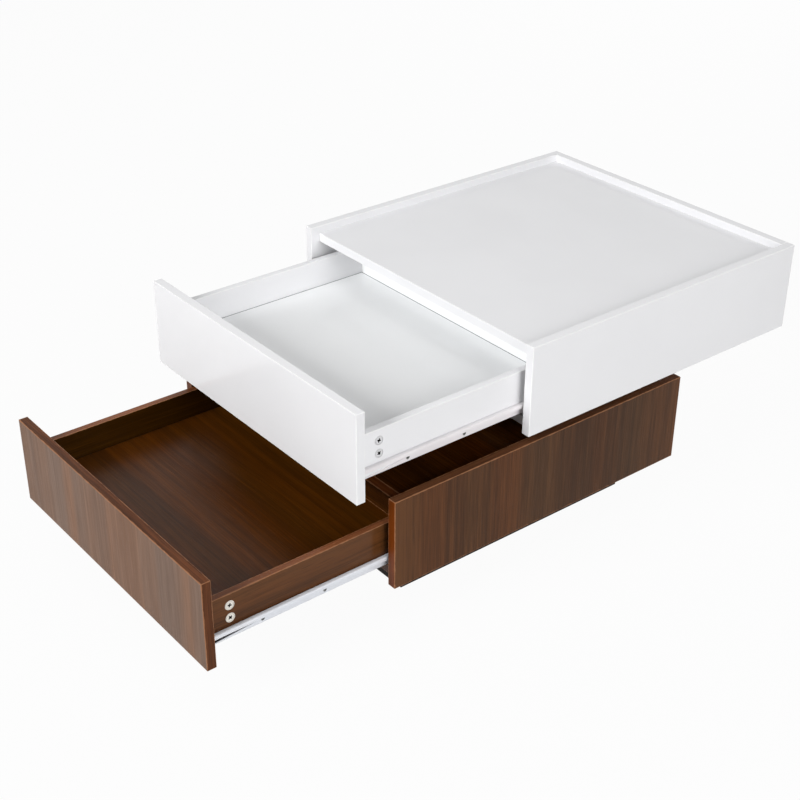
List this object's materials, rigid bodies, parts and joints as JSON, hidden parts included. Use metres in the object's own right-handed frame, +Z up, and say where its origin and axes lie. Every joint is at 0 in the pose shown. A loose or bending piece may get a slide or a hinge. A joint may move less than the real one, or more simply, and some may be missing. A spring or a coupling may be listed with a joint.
{
  "type": "swivel coffee table",
  "caption": "Low coffee table of two stacked square cases with sliding drawers; the gloss white upper case swivels on the walnut lower case.",
  "frame": {"origin": "on the floor under the middle of the lower case", "axes": "+Z up, drawers open towards -Y, +X to the right when looking along +Y at the drawer fronts"},
  "size_m": [0.6, 1.226, 0.401],
  "materials": {
    "walnut_laminate": "satin walnut laminate",
    "white_lacquer": "high gloss white lacquer",
    "plinth_black": "matt black-brown laminate",
    "spacer_board": "matt dark painted board",
    "dowel_beech": "bare beech",
    "runner_paint": "white epoxy paint",
    "roller_nylon": "white nylon",
    "cam_zinc": "cast zinc",
    "screw_steel": "zinc plated",
    "bearing_steel": "galvanised"
  },
  "bodies": {
    "base": {"plinth_front": "plinth_black", "plinth_back": "plinth_black", "plinth_left": "plinth_black", "plinth_right": "plinth_black", "plinth_middle": "plinth_black", "lower_side_panel_left": "walnut_laminate", "lower_side_panel_right": "walnut_laminate", "lower_back_panel": "walnut_laminate", "lower_top_panel": "walnut_laminate", "lower_bottom_panel": "walnut_laminate", "lower_case_dowels": "dowel_beech", "lower_case_runner_left": "runner_paint", "lower_case_runner_right": "runner_paint", "lower_case_runner_screws": "screw_steel", "lower_front_rail": "walnut_laminate", "swivel_spacer": "spacer_board", "swivel_spacer_screws": "screw_steel", "swivel_lower_plate": "bearing_steel", "swivel_lower_screws": "screw_steel", "swivel_pivot": "bearing_steel"},
    "lower_drawer": {"lower_drawer_front": "walnut_laminate", "lower_drawer_side_left": "walnut_laminate", "lower_drawer_side_right": "walnut_laminate", "lower_drawer_back": "walnut_laminate", "lower_drawer_floor": "walnut_laminate", "lower_cam_locks": "cam_zinc", "lower_cam_bolts": "screw_steel", "lower_drawer_pegs": "dowel_beech", "lower_drawer_runner_left": "runner_paint", "lower_drawer_runner_right": "runner_paint", "lower_drawer_runner_screws": "screw_steel"},
    "top_case": {"upper_side_panel_left": "white_lacquer", "upper_side_panel_right": "white_lacquer", "upper_back_panel": "white_lacquer", "upper_top_panel": "white_lacquer", "upper_bottom_panel": "white_lacquer", "upper_case_dowels": "dowel_beech", "upper_case_runner_left": "runner_paint", "upper_case_runner_right": "runner_paint", "upper_case_runner_screws": "screw_steel", "swivel_upper_plate": "bearing_steel", "swivel_upper_screws": "screw_steel"},
    "upper_drawer": {"upper_drawer_front": "white_lacquer", "upper_drawer_side_left": "white_lacquer", "upper_drawer_side_right": "white_lacquer", "upper_drawer_back": "white_lacquer", "upper_drawer_floor": "white_lacquer", "upper_cam_locks": "cam_zinc", "upper_cam_bolts": "screw_steel", "upper_drawer_pegs": "dowel_beech", "upper_drawer_runner_left": "runner_paint", "upper_drawer_runner_right": "runner_paint", "upper_drawer_runner_screws": "screw_steel"},
    "ball_ring": {"swivel_ball_cage": "bearing_steel", "swivel_balls": "bearing_steel"},
    "lower_front_rollers": {"lower_front_rollers": "roller_nylon"},
    "lower_rear_rollers": {"lower_rear_rollers": "roller_nylon"},
    "upper_front_rollers": {"upper_front_rollers": "roller_nylon"},
    "upper_rear_rollers": {"upper_rear_rollers": "roller_nylon"}
  },
  "joints": [
    {"name": "top_swivel", "type": "hinge", "parent": "base", "child": "top_case", "pos_m": [0, 0.135, 0.2355], "axis": [0, 0, 1], "continuous": true},
    {"name": "ball_ring_turn", "type": "hinge", "parent": "base", "child": "ball_ring", "pos_m": [0, 0.135, 0.2355], "axis": [0, 0, 1], "continuous": true},
    {"name": "lower_drawer_slide", "type": "slide", "parent": "base", "child": "lower_drawer", "axis": [0, 1, 0], "range_m": [0, 0.328]},
    {"name": "lower_front_roller_turn", "type": "hinge", "parent": "base", "child": "lower_front_rollers", "pos_m": [0, -0.283, 0.108], "axis": [1, 0, 0], "range_deg": [-2352, 0]},
    {"name": "lower_rear_roller_turn", "type": "hinge", "parent": "lower_drawer", "child": "lower_rear_rollers", "pos_m": [0, -0.236, 0.101], "axis": [1, 0, 0], "range_deg": [-2894, 0]},
    {"name": "upper_drawer_slide", "type": "slide", "parent": "top_case", "child": "upper_drawer", "axis": [0, 1, 0], "range_m": [0, 0.328]},
    {"name": "upper_front_roller_turn", "type": "hinge", "parent": "top_case", "child": "upper_front_rollers", "pos_m": [0, -0.013, 0.281], "axis": [1, 0, 0], "range_deg": [-2352, 0]},
    {"name": "upper_rear_roller_turn", "type": "hinge", "parent": "upper_drawer", "child": "upper_rear_rollers", "pos_m": [0, 0.034, 0.274], "axis": [1, 0, 0], "range_deg": [-2894, 0]}
  ],
  "couplings": [
    {"joint": "ball_ring_turn", "follows": "top_swivel", "ratio": 0.5},
    {"joint": "lower_front_roller_turn", "follows": "lower_drawer_slide", "rad_per_m": -125},
    {"joint": "lower_rear_roller_turn", "follows": "lower_drawer_slide", "rad_per_m": -153.85},
    {"joint": "upper_front_roller_turn", "follows": "upper_drawer_slide", "rad_per_m": -125},
    {"joint": "upper_rear_roller_turn", "follows": "upper_drawer_slide", "rad_per_m": -153.85}
  ]
}
